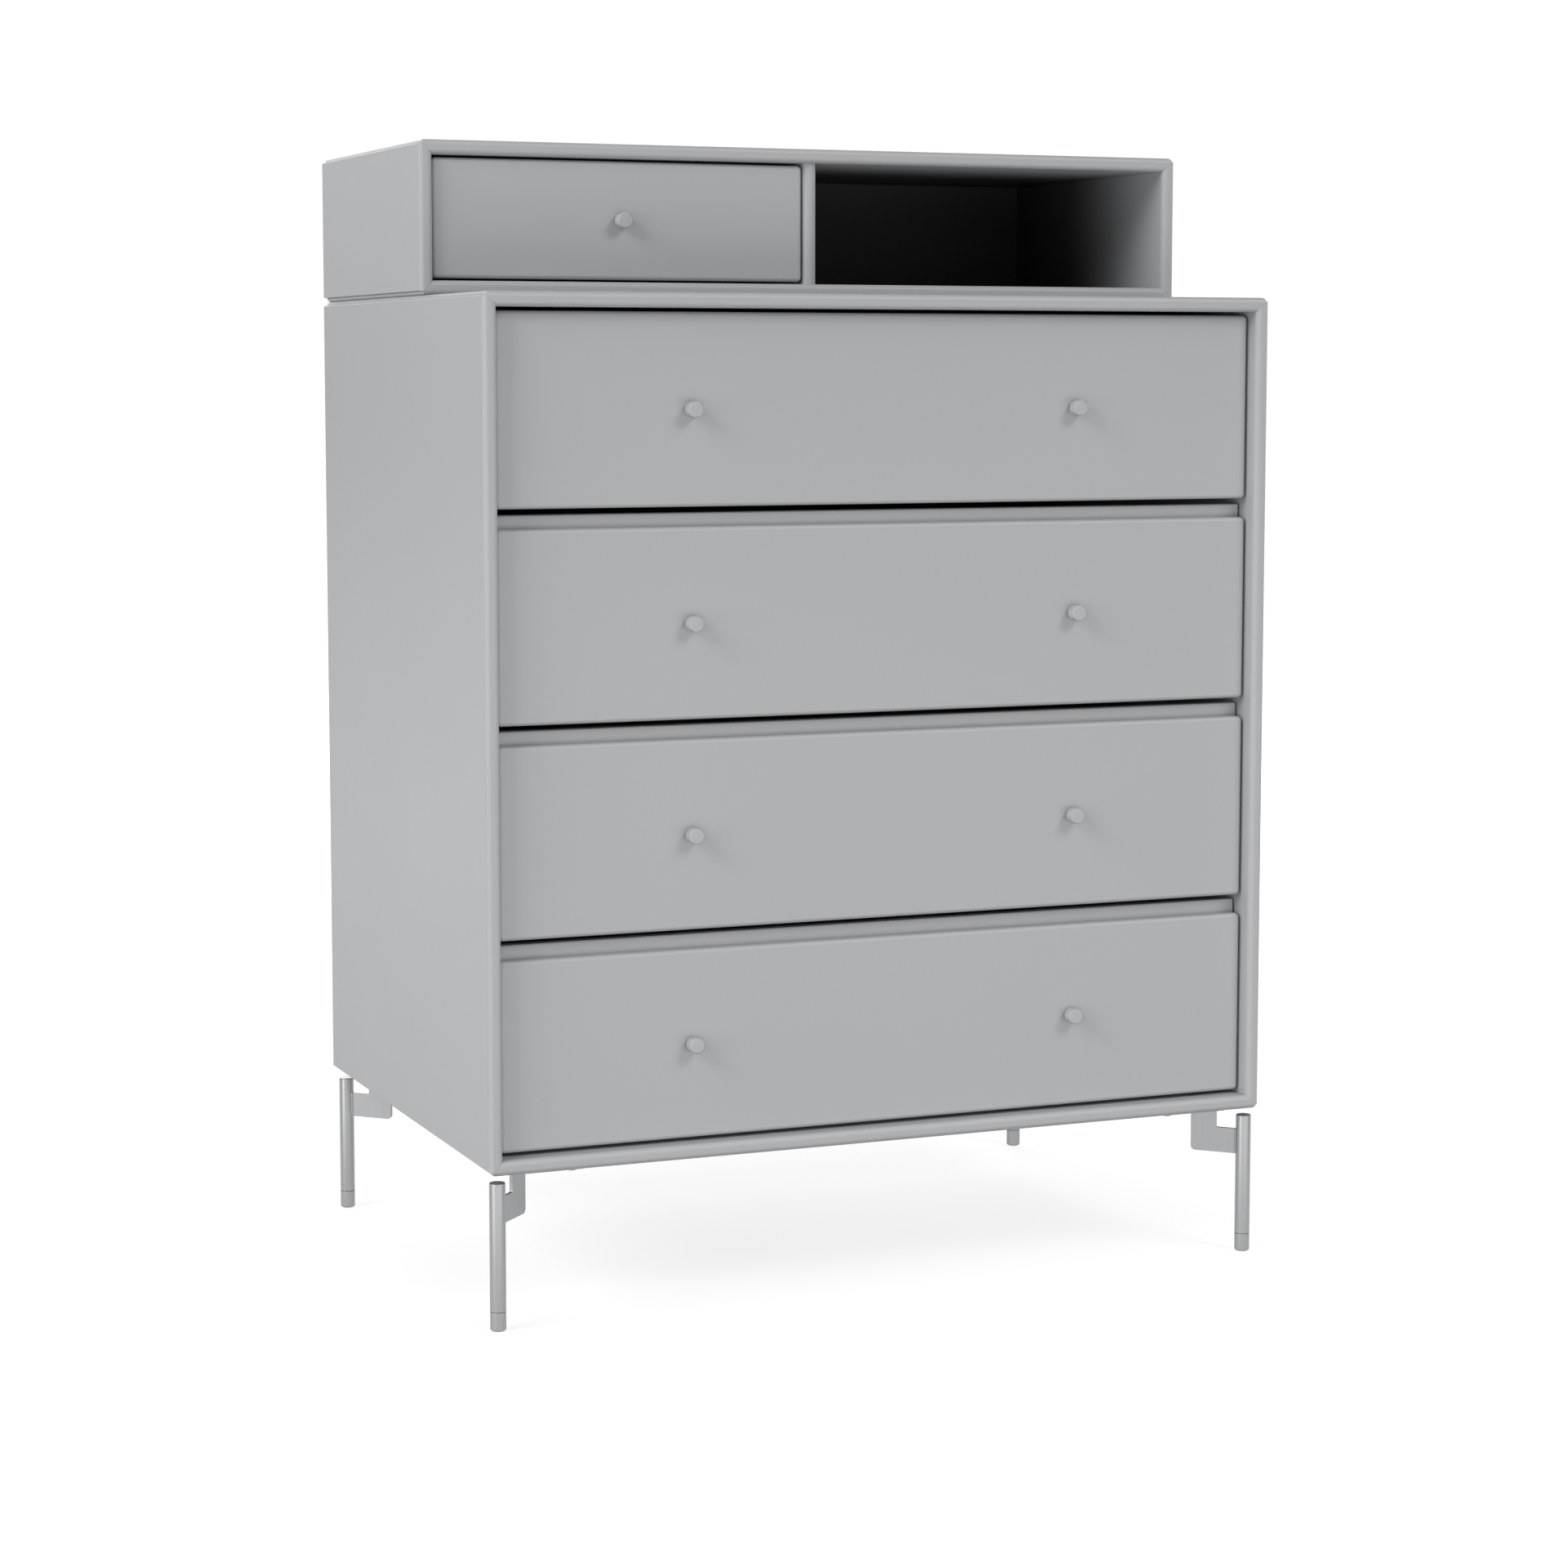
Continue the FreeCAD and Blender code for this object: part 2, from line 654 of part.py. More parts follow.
def drawer_bottom(label, wall, low, length, x, y, z):
    board = doc.addObject("Part::Box", label)
    half = board_half(wall)
    bind(board, "Length", f"2 * {half}")
    bind(board, "Width", f"{length} + groove")
    bind(board, "Height", "board")
    place(board, f"{x} - {half}", f"{y} - groove", f"{z} + {low} + board_rise")
    return board


def knobs(label, count, x, y, z):
    # Turned about Y, with the seat on the front's face at y = 0
    body = new_body(label)
    radius = "knob_diameter / 2"
    profile = new_sketch(body, "profile", "XY_Plane", [
        ("0", "-knob_length"),
        (f"{radius} - knob_chamfer", "-knob_length"),
        (radius, "-knob_length + knob_chamfer"),
        (radius, "0"),
        ("0", "0"),
    ])
    add_turning(body, profile)
    if count > 1:
        add_row(body, "X_Axis", count, f"2 * {bay_centre}")
    place(body, x, y, z)
    return body


def wide_drawer(number):
    name = f"drawer_{number}"
    z = f"({first_front_z} + {number - 1} * {front_pitch})"
    knob_z = f"{z} + {front_height} / 2"
    low = "box_lift"
    top = f"({front_height} - box_drop)"
    box_front_top = f"({front_height} + band)"
    if number == drawer_count:
        box_front_top = f"({front_height} - box_front_drop)"
    box = ("0", wide_side_y, z)
    return [
        drawer_front(f"{name}_front", front_width, front_height, "0", wide_front_y, z),
        box_front(f"{name}_box_front", box_front_top, f"({low} + board_rise)", z),
        drawer_sides(f"{name}_sides", inner_half, low, top, wide_side_length, *box),
        drawer_back(f"{name}_back", inner_half, low, top, wide_side_length, *box),
        drawer_bottom(f"{name}_bottom", inner_half, low, wide_side_length, *box),
        knobs(f"{name}_knobs", 2, f"-{bay_centre}", wide_front_y, knob_z),
        runner(f"{name}_runners", hat(middle_slot, middle_cavity, middle_lip_face, inner_half),
               wide_side_length, "0", wide_side_y, f"{z} + runner_rise"),
        runner(f"{name}_middle_runners", middle_section(inner_half),
               wide_side_length, "0", wide_side_y, f"{z} + runner_rise"),
    ]


def small_drawer():
    z = small_front_z
    x = f"-{bay_centre}"
    low = "small_lift"
    top = f"({small_height} - small_drop)"
    box = (x, small_side_y, z)
    front = drawer_front("small_drawer_front", small_width, small_height, x, small_front_y, z)
    cut_groove(front, board_half(bay_half), f"({low} + board_rise)",
               "front_board - groove", "front_board")
    return [
        front,
        drawer_sides("small_drawer_sides", bay_half, low, top, small_side_length, *box),
        drawer_back("small_drawer_back", bay_half, low, top, small_side_length, *box),
        drawer_bottom("small_drawer_bottom", bay_half, low, small_side_length, *box),
        knobs("small_drawer_knob", 1, x, small_front_y, f"{z} + {small_height} / 2"),
        runner("small_drawer_runners", hat(rail_slot, rail_cavity, rail_lip_face, bay_half),
               small_side_length, x, small_side_y, f"{z} + small_runner_rise"),
    ]


lower = carcass("lower", "lower_height", "lower_depth", lower_front_y, "leg_height")
upper = carcass("upper", "upper_height", "upper_depth", upper_front_y, lower_top_z)
pieces = [*lower, *upper, upper_divider(), module_dowels()]

hole_radius = "dowel_diameter / 2 + dowel_play"
drill(lower[0], dowel_spots(lower_front_y), hole_radius, "dowel_depth")
drill(upper[1], dowel_spots(upper_front_y), hole_radius, "dowel_depth")

front_right = leg()
front_left = mirrored_copy(front_right, "front_left_leg", (1, 0, 0))
back_right = mirrored_copy(front_right, "back_right_leg", (0, 1, 0))
back_left = mirrored_copy(front_left, "back_left_leg", (0, 1, 0))
pieces += [front_right, front_left, back_right, back_left]

for depth_name, rod_y in (("front", f"{lower_front_y} + leg_inset"), ("back", f"{back_y} - leg_inset")):
    for side_name, rod_x in (("left", "leg_inset - cabinet_width / 2"),
                             ("right", "cabinet_width / 2 - leg_inset")):
        pieces.append(foot(f"{depth_name}_{side_name}_foot", rod_x, rod_y))

pieces.append(runner_rails(first_front_z))
for number in range(1, drawer_count + 1):
    pieces += wide_drawer(number)
pieces += small_drawer()

doc.recompute()

# Every object is sound, every pocket has cut something, and every piece is a valid solid
for thing in doc.Objects:
    if "Invalid" in thing.State or "Error" in thing.State:
        raise RuntimeError(f"{thing.Label} failed: {thing.State}")
    if thing.TypeId == "PartDesign::Pocket":
        if not thing.Shape.Volume < thing.BaseFeature.Shape.Volume - 1:
            raise RuntimeError(f"{thing.Label} cut nothing")
for piece in pieces:
    if piece.Shape.isNull() or not piece.Shape.isValid() or not piece.Shape.Solids:
        raise RuntimeError(f"{piece.Label} is not a valid solid")

os.makedirs("parts", exist_ok=True)
for piece in pieces:
    piece.Shape.exportStep(f"parts/{piece.Label}.step")
print(f"{len(pieces)} pieces written")
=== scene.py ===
import json
import math
import bmesh
import bpy
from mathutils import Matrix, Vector

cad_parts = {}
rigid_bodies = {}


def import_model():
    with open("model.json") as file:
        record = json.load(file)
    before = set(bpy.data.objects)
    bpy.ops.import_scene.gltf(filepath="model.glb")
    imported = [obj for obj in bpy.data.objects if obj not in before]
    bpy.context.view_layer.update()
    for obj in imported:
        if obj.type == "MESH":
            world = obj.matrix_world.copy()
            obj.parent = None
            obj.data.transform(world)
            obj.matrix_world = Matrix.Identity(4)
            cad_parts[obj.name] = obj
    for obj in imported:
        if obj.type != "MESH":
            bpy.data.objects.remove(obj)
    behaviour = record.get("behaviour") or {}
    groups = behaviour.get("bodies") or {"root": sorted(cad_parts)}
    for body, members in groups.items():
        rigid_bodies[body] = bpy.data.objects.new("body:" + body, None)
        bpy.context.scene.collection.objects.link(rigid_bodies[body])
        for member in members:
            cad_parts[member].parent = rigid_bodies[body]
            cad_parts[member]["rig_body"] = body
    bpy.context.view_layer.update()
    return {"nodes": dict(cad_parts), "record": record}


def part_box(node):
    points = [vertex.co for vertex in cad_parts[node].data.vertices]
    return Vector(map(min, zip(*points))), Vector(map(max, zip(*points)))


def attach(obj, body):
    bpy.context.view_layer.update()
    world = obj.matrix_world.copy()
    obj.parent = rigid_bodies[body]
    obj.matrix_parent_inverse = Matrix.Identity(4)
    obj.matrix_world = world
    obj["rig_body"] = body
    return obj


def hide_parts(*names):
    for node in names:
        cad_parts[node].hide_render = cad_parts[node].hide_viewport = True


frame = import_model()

# Grey lacquered chest of drawers on thin steel legs
print("stage: frame loaded")

wideDrawers = ("drawer_1", "drawer_2", "drawer_3", "drawer_4")
allDrawers = wideDrawers + ("small_drawer",)
corners = ("front_left", "front_right", "back_left", "back_right")

tiny = 1e-6                    # metres, to find points by their height
near = 1e-5                    # metres, to find points by their reach
level = 0.99                   # a normal's part along z on a level face

camera = {
    "position": (-1.16398, -2.81597, 0.75752),
    "yaw": 22.2817,          # degrees to the right of straight ahead
    "pitch": 5.6476,         # degrees below the horizon
    "lens": 79.90,
    "sensor": 36.0,
    "shift": (0.00705, -0.04136),
}

studio = {
    "floorSize": 30.0,
    "floorColour": (0.35, 0.35, 0.35, 1.0),
    "shadedNearGlow": (0.78, 0.78, 0.78, 1.0),       # floor below and around the cabinet, glowing dimmer there as a painted shadow
    "farGlow": (1.05, 1.05, 1.05, 1.0),
    "glowStart": 0.9,                          # metres from the cabinet
    "glowWidth": 1.6,
    "roughness": 0.9,
    "domeRadius": 14.0,
    "domeSegments": 48,
    "domeRings": 24,
    "worldStrength": 0.20,
}


class Wire:
    # A shader socket that sums, products and comparisons can be written with

    def __init__(self, tree, socket):
        self.tree = tree
        self.socket = socket

    def combine(self, operation, *terms):
        node = self.tree.nodes.new("ShaderNodeMath")
        node.operation = operation
        for place, term in enumerate(terms):
            if isinstance(term, Wire):
                self.tree.links.new(term.socket, node.inputs[place])
            else:
                node.inputs[place].default_value = term
        return Wire(self.tree, node.outputs[0])

    def __add__(self, other):
        return self.combine("ADD", self, other)

    def __radd__(self, other):
        return self.combine("ADD", other, self)

    def __sub__(self, other):
        return self.combine("SUBTRACT", self, other)

    def __mul__(self, other):
        return self.combine("MULTIPLY", self, other)

    def __lt__(self, other):
        return self.combine("LESS_THAN", self, other)

    def __gt__(self, other):
        return self.combine("GREATER_THAN", self, other)


class Finish:
    # One material: its node tree, its Principled shader and its object coordinates

    def __init__(self, name, **constants):
        self.material = bpy.data.materials.new(name)
        self.material.use_nodes = True
        self.tree = self.material.node_tree
        self.shader = self.tree.nodes["Principled BSDF"]
        for socket, value in constants.items():
            self.shader.inputs[socket.replace("_", " ")].default_value = value
        self.place = self.add("TexCoord", output="Object")

    def add(self, kind, settings=None, inputs=None, output=0):
        node = self.tree.nodes.new("ShaderNode" + kind)
        for key, value in (settings or {}).items():
            setattr(node, key, value)
        for key, value in (inputs or {}).items():
            if isinstance(value, Wire):
                self.tree.links.new(value.socket, node.inputs[key])
            else:
                node.inputs[key].default_value = value
        return Wire(self.tree, node.outputs[output])

    def feed(self, **wires):
        for socket, wire in wires.items():
            self.tree.links.new(wire.socket, self.shader.inputs[socket.replace("_", " ")])

    def noise(self, scale, detail, stretch=None):
        spot = self.place
        if stretch:
            spot = self.add("Mapping", inputs={"Vector": spot, "Scale": stretch})
        return self.add("TexNoise", inputs={"Vector": spot, "Scale": scale, "Detail": detail},
                        output="Fac")

    def axes(self):
        split = self.add("SeparateXYZ", inputs={0: self.place})
        return [Wire(self.tree, output) for output in split.socket.node.outputs]

    def blend(self, factor, low, high):
        # A Mix node's colours are its inputs 6 and 7, and its colour output is number 2
        return self.add("Mix", {"data_type": "RGBA"}, {0: factor, 6: low, 7: high}, output=2)

    def bump(self, height, strength, distance):
        return self.add("Bump", output="Normal", inputs={
            "Height": height, "Strength": strength, "Distance": distance})


def tinted(colour, share):
    return tuple(part * share for part in colour[:3]) + (1.0,)


niche = {                      # the open compartment, whose lacquer gets a painted shade that darkens it towards the back
    "low": (0.0052, -0.06, 0.8338),
    "high": (0.3372, 0.2245, 0.9372),      # its back is the near face of the back board
    "darkest": 0.13,                       # how far back, in y, the painted shade is full
    # how much the painted shade darkens the lacquer at the back
    "shade": 0.86,
}


def paintedNicheShade(finish):
    # Share of painted shade: 0 outside the open compartment, and inside it rising from its
    # front to its back
    low, high = niche["low"], niche["high"]
    x, y, z = finish.axes()
    inside = (x > low[0]) * (x < high[0]) * (z > low[2]) * (z < high[2]) * (y < high[1])
    depth = finish.add("MapRange", {"interpolation_type": "SMOOTHSTEP"}, {
        "Value": y, "From Min": low[1], "From Max": niche["darkest"]})
    return inside * depth


lacquer = {
    "light": (0.468, 0.475, 0.486, 1.0),
    "dark": (0.450, 0.457, 0.468, 1.0),
    "reflection": 0.27,
    "cloudScale": 3.5,
    "cloudDetail": 3.0,
    "peelScale": 420.0,        # orange peel of the sprayed coat
    "peelDetail": 2.0,
    "peelStrength": 0.05,
    "peelHeight": 0.00004,
    "smearScale": 14.0,
    "smearDetail": 4.0,
    "roughness": 0.42,
    "roughnessSpread": 0.06,
}


def lacquerFinish(name, tint=1.0, rougher=0.0):
    finish = Finish(name, Specular_IOR_Level=lacquer["reflection"])
    cloud = finish.noise(lacquer["cloudScale"], lacquer["cloudDetail"])
    low = tinted(lacquer["dark"], tint)
    high = tinted(lacquer["light"], tint)
    # painted shade: inside the open compartment the base colour darkens towards the back
    paintedShadeColour = tinted(low, 1.0 - niche["shade"])
    peel = finish.noise(lacquer["peelScale"], lacquer["peelDetail"])
    smear = finish.noise(lacquer["smearScale"], lacquer["smearDetail"])
    finish.feed(
        Base_Color=finish.blend(paintedNicheShade(finish), finish.blend(cloud, low, high), paintedShadeColour),
        Roughness=lacquer["roughness"] + rougher + (smear - 0.5) * lacquer["roughnessSpread"],
        Normal=finish.bump(peel, lacquer["peelStrength"], lacquer["peelHeight"]))
    return finish.material


steel = {
    "light": (0.400, 0.406, 0.412, 1.0),
    "dark": (0.315, 0.320, 0.325, 1.0),
    "metallic": 0.78,
    "grainScale": 600.0,
    "cloudScale": 30.0,
    "detail": 3.0,
    "grainShare": 0.6,         # of the colour, the clouds have the rest
    "roughnessSpread": 0.12,
    "bumpStrength": 0.15,
    "bumpHeight": 0.00003,
    "drawn": (1.0, 1.0, 0.05),             # grain along the rods
    "rolled": (1.0, 0.04, 1.0),            # grain along the runners
}


def steelFinish(name, roughness, stretch, tint=1.0):
    finish = Finish(name, Metallic=steel["metallic"])
    grain = finish.noise(steel["grainScale"], steel["detail"], stretch)
    cloud = finish.noise(steel["cloudScale"], steel["detail"])
    share = steel["grainShare"]
    finish.feed(
        Base_Color=finish.blend(grain * share + cloud * (1.0 - share),
                                tinted(steel["dark"], tint), tinted(steel["light"], tint)),
        Roughness=roughness + (grain - 0.5) * steel["roughnessSpread"],
        Normal=finish.bump(grain, steel["bumpStrength"], steel["bumpHeight"]))
    return finish.material


beech = {
    "light": (0.68, 0.50, 0.32, 1.0),
    "dark": (0.55, 0.38, 0.22, 1.0),
    "roughness": 0.6,
    "grainScale": 90.0,
    "grainDetail": 4.0,
    "grainStretch": (1.0, 1.0, 0.12),
    "bumpStrength": 0.2,
    "bumpHeight": 0.0001,
}


def beechFinish(name):
    finish = Finish(name, Roughness=beech["roughness"])
    grain = finish.noise(beech["grainScale"], beech["grainDetail"], beech["grainStretch"])
    finish.feed(
        Base_Color=finish.blend(grain, beech["dark"], beech["light"]),
        Normal=finish.bump(grain, beech["bumpStrength"], beech["bumpHeight"]))
    return finish.material


finishes = {
    "lacquered_panel": lacquerFinish("greyLacquer"),
    "back_board": lacquerFinish("backLacquer", tint=0.97, rougher=0.10),
    "drawer_box": lacquerFinish("drawerLacquer", tint=0.98, rougher=0.08),
    "knob_lacquer": lacquerFinish("knobLacquer", rougher=-0.04),
    "leg_steel": steelFinish("legSteel", 0.34, steel["drawn"]),
    "foot_steel": steelFinish("footSteel", 0.34, steel["drawn"]),
    "runner_steel": steelFinish("runnerZinc", 0.32, steel["rolled"], tint=1.2),
    "dowel_beech": beechFinish("dowelBeech"),
}

slotOf = {part["node"]: part["material_slot"] for part in frame["record"]["subparts"]}
for name, node in frame["nodes"].items():
    node.data.materials.clear()
    node.data.materials.append(finishes[slotOf[name]])
print("stage: finishes on the nodes")


def selectOnly(*pieces):
    # In object mode, select these and make the first one active
    bpy.ops.object.select_all(action="DESELECT")
    for piece in pieces:
        piece.select_set(True)
    bpy.context.view_layer.objects.active = pieces[0]


def selectNone(kind):
    # In edit mode, select nothing and choose between VERT, EDGE and FACE
    bpy.ops.mesh.select_mode(type=kind)
    bpy.ops.mesh.select_all(action="DESELECT")
    return bmesh.from_edit_mesh(bpy.context.edit_object.data)


def chooseFaces(test):
    # Select only the faces whose centre and normal pass the test
    for face in selectNone("FACE").faces:
        face.select_set(test(face.calc_center_median(), face.normal))
    bmesh.update_edit_mesh(bpy.context.edit_object.data)


def chooseEdges(test):
    # Select only the edges whose two ends pass the test
    for edge in selectNone("EDGE").edges:
        edge.select_set(test(edge.verts[0].co, edge.verts[1].co))
    bmesh.update_edit_mesh(bpy.context.edit_object.data)


def choosePoints(test):
    # Select only the points that pass the test
    shape = selectNone("VERT")
    for point in shape.verts:
        point.select_set(test(point.co))
    shape.select_flush(True)
    bmesh.update_edit_mesh(bpy.context.edit_object.data)


def turnedBlank(name, sides, radius, low, high):
    # A round blank on the z axis, left open in edit mode
    bpy.ops.object.select_all(action="DESELECT")
    bpy.ops.mesh.primitive_cylinder_add(
        vertices=sides, radius=radius, depth=high - low, location=(0.0, 0.0, (low + high) / 2))
    blank = bpy.context.object
    blank.name = name
    bpy.ops.object.transform_apply(location=True, rotation=True, scale=True)
    bpy.ops.object.mode_set(mode="EDIT")
    return blank


def easeRim(height, radius, width, segments):
    # Round the edges that lie in one ring
    def inRing(point):
        reach = math.hypot(point.x, point.y)
        return abs(point.z - height) < tiny and abs(reach - radius) < near
    chooseEdges(lambda start, end: inRing(start) and inRing(end))
    bpy.ops.mesh.bevel(offset=width, segments=segments, profile=0.5, affect="EDGES")


def growFromTop(height, inward, upward):
    # Step the top face in, then draw it up into a narrower neck
    chooseFaces(lambda centre, normal: normal.z > level and abs(centre.z - height) < tiny)
    bpy.ops.mesh.inset(thickness=inward, depth=0.0)
    bpy.ops.mesh.extrude_region_move(TRANSFORM_OT_translate={"value": (0.0, 0.0, upward)})


def finishShape(angle):
    # Merge doubles, point the faces outwards, leave edit mode and shade round faces smooth
    bpy.ops.mesh.select_all(action="SELECT")
    bpy.ops.mesh.remove_doubles(threshold=tiny / 10)
    bpy.ops.mesh.normals_make_consistent(inside=False)
    bpy.ops.object.mode_set(mode="OBJECT")
    smoothBySize(angle)


def smoothBySize(angle):
    # Smooth shading in which wide flat faces keep their own direction
    bpy.ops.object.shade_smooth_by_angle(angle=math.radians(angle))
    bpy.ops.object.modifier_add(type="WEIGHTED_NORMAL")
    weighting = bpy.context.object.modifiers[-1]
    weighting.keep_sharp = True
    bpy.ops.object.modifier_apply(modifier=weighting.name)


def placedCopy(pattern, location, rotation=(0.0, 0.0, 0.0), scale=1.0):
    # A copy with its own mesh, put in place and then left at the origin
    selectOnly(pattern)
    bpy.ops.object.duplicate(linked=False)
    twin = bpy.context.object
    twin.location = location
    twin.rotation_euler = rotation
    twin.scale = (scale, scale, scale)
    bpy.ops.object.transform_apply(location=True, rotation=True, scale=True)
    return twin


def joined(parts, name):
    selectOnly(*parts)
    if len(parts) > 1:
        bpy.ops.object.join()
    parts[0].name = name
    return parts[0]


def settle(piece, body, slot, *nodes):
    # Finish, body and slot of a new piece, and the CAD nodes that it stands for
    piece.data.materials.clear()
    piece.data.materials.append(finishes[slot])
    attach(piece, body)
    if nodes:
        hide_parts(*nodes)


def dropPattern(pattern):
    selectOnly(pattern)
    bpy.ops.object.delete()


knob = {
    "sides": 48,
    "headRadius": 0.0065,
    "neckRadius": 0.0045,
    "neckLength": 0.0025,
    "headFront": 0.0119,       # from the drawer front's face
    "crown": 0.0001,           # the turned face swells by this much
    "crownRings": 3,
    "crownStep": 0.0014,
    "rim": 0.0012,
    "rimSegments": 4,
    "rearRim": 0.0005,
    "rearSegments": 2,
    "smoothAngle": 50.0,
}


def knobPattern():
    # Turned knob whose axis is z here, with its face upwards
    pattern = turnedBlank("knobPattern", knob["sides"], knob["headRadius"],
                          knob["neckLength"], knob["headFront"])
    easeRim(knob["headFront"], knob["headRadius"], knob["rim"], knob["rimSegments"])
    easeRim(knob["neckLength"], knob["headRadius"], knob["rearRim"], knob["rearSegments"])
    chooseFaces(lambda centre, normal: normal.z < -level)
    bpy.ops.mesh.inset(thickness=knob["headRadius"] - knob["rearRim"] - knob["neckRadius"])
    bpy.ops.mesh.extrude_region_move(
        TRANSFORM_OT_translate={"value": (0.0, 0.0, -knob["neckLength"])})
    chooseFaces(lambda centre, normal: normal.z > level)
    for ring in range(knob["crownRings"]):
        bpy.ops.mesh.inset(thickness=knob["crownStep"])
        bpy.ops.transform.translate(value=(0.0, 0.0, knob["crown"] / knob["crownRings"]))
    finishShape(knob["smoothAngle"])
    return pattern


def makeKnobs():
    pattern = knobPattern()
    for drawer in allDrawers:
        node = drawer + ("_knob" if drawer == "small_drawer" else "_knobs")
        low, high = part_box(node)
        middle = (low.z + high.z) / 2
        if drawer == "small_drawer":
            places = [(low.x + high.x) / 2]
        else:
            places = [low.x + knob["headRadius"], high.x - knob["headRadius"]]
        heads = [placedCopy(pattern, (place, high.y, middle), (math.radians(90.0), 0.0, 0.0))
                 for place in places]
        settle(joined(heads, drawer + "_turned_knobs"), drawer, "knob_lacquer", node)
    dropPattern(pattern)


makeKnobs()
print("stage: knobs")


foot = {
    "sides": 64,
    "radius": 0.0065,
    "top": 0.0157,
    "toeRounding": 0.0022,
    "toeSegments": 6,
    "seamRounding": 0.0004,
    "studTop": 0.0377,
    "studRounding": 0.0006,
    "easeSegments": 2,         # in the seam's and the stud's rounding
    "coreRadius": 0.0034,
    "crestRadius": 0.00398,
    "threadFoot": 0.0033,      # the ridge starts just inside the core
    "pitch": 0.00125,
    "ridgeHalf": 0.42,         # half the ridge's width, of one pitch
    "turns": 16,
    "steps": 28,
    "glideRadius": 0.0030,
    "glideRim": 0.0004,
    "glideDepth": 0.0006,
    "smoothAngle": 40.0,
    "threadAngle": 30.0,
}


def threadRidge():
    # A thin triangle wound up the stud
    bpy.ops.object.select_all(action="DESELECT")
    bpy.ops.mesh.primitive_circle_add(vertices=3, radius=0.001, fill_type="NOTHING")
    ridge = bpy.context.object
    half = foot["pitch"] * foot["ridgeHalf"]
    start = foot["top"] + foot["pitch"]
    triangle = ((foot["threadFoot"], 0.0, start - half), (foot["crestRadius"], 0.0, start),
                (foot["threadFoot"], 0.0, start + half))
    for point, place in zip(ridge.data.vertices, triangle):
        point.co = place
    bpy.ops.object.modifier_add(type="SCREW")
    wind = ridge.modifiers[0]
    wind.axis = "Z"
    wind.screw_offset = foot["pitch"]
    wind.iterations = foot["turns"]
    wind.steps = foot["steps"]
    wind.render_steps = foot["steps"]
    bpy.ops.object.modifier_apply(modifier=wind.name)
    bpy.ops.object.mode_set(mode="EDIT")
    selectNone("EDGE")
    bpy.ops.mesh.select_non_manifold(extend=False)
    bpy.ops.mesh.fill_holes(sides=3)
    finishShape(foot["threadAngle"])
    return ridge


def footPattern():
    # Levelling foot with rounded toe, a shallow hollow below and a threaded stud
    pattern = turnedBlank("footPattern", foot["sides"], foot["radius"], 0.0, foot["top"])
    easeRim(0.0, foot["radius"], foot["toeRounding"], foot["toeSegments"])
    easeRim(foot["top"], foot["radius"], foot["seamRounding"], foot["easeSegments"])
    growFromTop(foot["top"], foot["radius"] - foot["seamRounding"] - foot["coreRadius"],
                foot["studTop"] - foot["top"])
    easeRim(foot["studTop"], foot["coreRadius"], foot["studRounding"], foot["easeSegments"])
    chooseFaces(lambda centre, normal: normal.z < -level and centre.z < tiny)
    bpy.ops.mesh.inset(thickness=foot["radius"] - foot["toeRounding"] - foot["glideRadius"])
    bpy.ops.mesh.inset(thickness=foot["glideRim"])
    bpy.ops.transform.translate(value=(0.0, 0.0, foot["glideDepth"]))
    finishShape(foot["smoothAngle"])
    return joined([pattern, threadRidge()], "footPattern")


def makeFeet():
    pattern = footPattern()
    for corner in corners:
        low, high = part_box(corner + "_foot")
        piece = placedCopy(pattern, ((low.x + high.x) / 2, (low.y + high.y) / 2, low.z))
        piece.name = corner + "_levelling_foot"
        settle(piece, corner + "_foot", "foot_steel", corner + "_foot")
    dropPattern(pattern)


makeFeet()
print("stage: levelling feet")


screw = {
    "sides": 24,
    "radius": 0.0038,
    "height": 0.0022,
    "rounding": 0.0011,
    "roundingSegments": 3,
    "recessRim": 0.0021,
    "recessDepth": 0.0011,
    "recessTaper": 0.75,
    "armDegrees": 20.0,        # half the width of one arm of the cross
    "waist": 0.36,             # how far the cross draws in between its arms
    "smoothAngle": 40.0,
}


def screwPattern():
    # Pan head with a cross recess, seated on z = 0
    pattern = turnedBlank("screwPattern", screw["sides"], screw["radius"], 0.0, screw["height"])
    easeRim(screw["height"], screw["radius"], screw["rounding"], screw["roundingSegments"])
    chooseFaces(lambda centre, normal: normal.z > level)
    bpy.ops.mesh.inset(thickness=screw["radius"] - screw["rounding"] - screw["recessRim"])

    def betweenArms(point):
        reach = math.hypot(point.x, point.y)
        turn = math.degrees(math.atan2(point.y, point.x)) % 90.0
        onTop = point.z > screw["height"] - tiny
        inRing = onTop and abs(reach - screw["recessRim"]) < 20 * near
        return inRing and screw["armDegrees"] < turn < 90.0 - screw["armDegrees"]
    choosePoints(betweenArms)
    bpy.ops.transform.resize(value=(screw["waist"], screw["waist"], 1.0))
    chooseFaces(lambda centre, normal: (
        normal.z > level and math.hypot(centre.x, centre.y) < 10 * near))
    bpy.ops.mesh.extrude_region_move(
        TRANSFORM_OT_translate={"value": (0.0, 0.0, -screw["recessDepth"])})
    bpy.ops.transform.resize(value=(screw["recessTaper"], screw["recessTaper"], 1.0))
    finishShape(screw["smoothAngle"])
    return pattern


facing = {                     # turns that point a screw head's top this way
    "down": (math.radians(180.0), 0.0, 0.0),
    "back": (math.radians(-90.0), 0.0, 0.0),
    "left": (0.0, math.radians(-90.0), 0.0),
    "right": (0.0, math.radians(90.0), 0.0),
}

